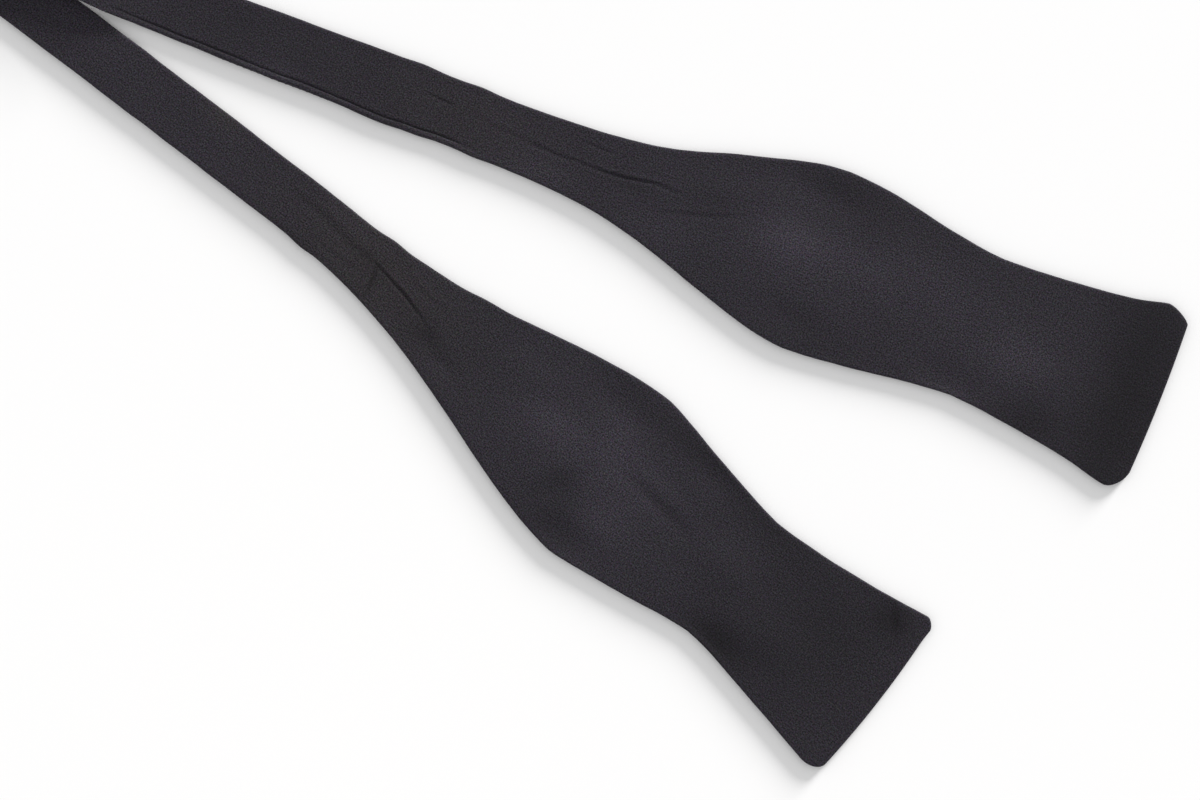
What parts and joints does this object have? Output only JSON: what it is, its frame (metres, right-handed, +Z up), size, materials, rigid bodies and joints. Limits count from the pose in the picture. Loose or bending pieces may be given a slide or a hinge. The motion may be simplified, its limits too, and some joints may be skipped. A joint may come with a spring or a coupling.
{
  "type": "bow tie",
  "caption": "Self-tie butterfly bow tie, untied and lying flat in a V, with padded blades, folding tips, and a hook, ring and slider that set the neck size",
  "frame": {"origin": "the middle of the footprint, on the surface that the tie lies on", "axes": "+X along the right leg from the neck fastening to its square end, +Z up from the surface, +Y towards the right leg's outer edge"},
  "size_m": [0.4864, 0.1892, 0.0083],
  "materials": {
    "face_cloth": "fine matte black weave with a soft sheen",
    "strap_cloth": "the same black cloth, doubled without interlining",
    "interlining": "undyed brushed canvas",
    "thread": "black sewing thread",
    "hardware": "nickel-coloured satin steel"
  },
  "bodies": {
    "left_half": {"left_front_shell": "face_cloth", "left_back_shell": "face_cloth", "left_interlining": "interlining", "left_end_loop": "strap_cloth", "left_loop_stitch": "thread", "left_closing_stitch": "thread"},
    "left_tip": {"left_tip_front_shell": "face_cloth", "left_tip_back_shell": "face_cloth", "left_tip_interlining": "interlining"},
    "ring": {"ring": "hardware"},
    "hook": {"hook": "hardware"},
    "strap": {"strap_bight": "strap_cloth"},
    "slider": {"slider": "hardware", "strap_end_loop": "strap_cloth", "strap_end_stitch": "thread", "strap_return_ply": "strap_cloth"},
    "right_half": {"right_front_shell": "face_cloth", "right_back_shell": "face_cloth", "right_interlining": "interlining", "right_closing_stitch": "thread", "strap_running_ply": "strap_cloth"},
    "right_tip": {"right_tip_front_shell": "face_cloth", "right_tip_back_shell": "face_cloth", "right_tip_interlining": "interlining"}
  },
  "joints": [
    {"name": "left_tip_fold", "type": "hinge", "parent": "left_half", "child": "left_tip", "pos_m": [0.08221, -0.02864, 0.0024], "axis": [-0.3024, -0.9532, 0], "range_deg": [0, 178]},
    {"name": "ring_fold", "type": "hinge", "parent": "left_half", "child": "ring", "pos_m": [-0.2418, 0.06314, 0.0014], "axis": [0, -1, 0], "range_deg": [0, 166]},
    {"name": "hook_release", "type": "slide", "parent": "ring", "child": "hook", "axis": [-1, 0, 0], "range_m": [0, 0.0045]},
    {"name": "strap_fold", "type": "hinge", "parent": "hook", "child": "strap", "pos_m": [-0.21615, 0.06314, 0.00562], "axis": [0, -1, 0], "range_deg": [0, 14]},
    {"name": "slider_slide", "type": "slide", "parent": "strap", "child": "slider", "axis": [0.9999, 0, -0.0105], "range_m": [-0.025, 0.006], "deforming": ["strap_return_ply"]},
    {"name": "neck_size", "type": "slide", "parent": "strap", "child": "right_half", "axis": [1, 0, 0], "range_m": [-0.006, 0.025], "deforming": ["strap_running_ply"]},
    {"name": "right_tip_fold", "type": "hinge", "parent": "right_half", "child": "right_tip", "pos_m": [0.1202, 0.06314, 0.0024], "axis": [0, -1, 0], "range_deg": [0, 178]}
  ],
  "couplings": [
    {"joint": "neck_size", "follows": "slider_slide", "ratio": -1}
  ]
}
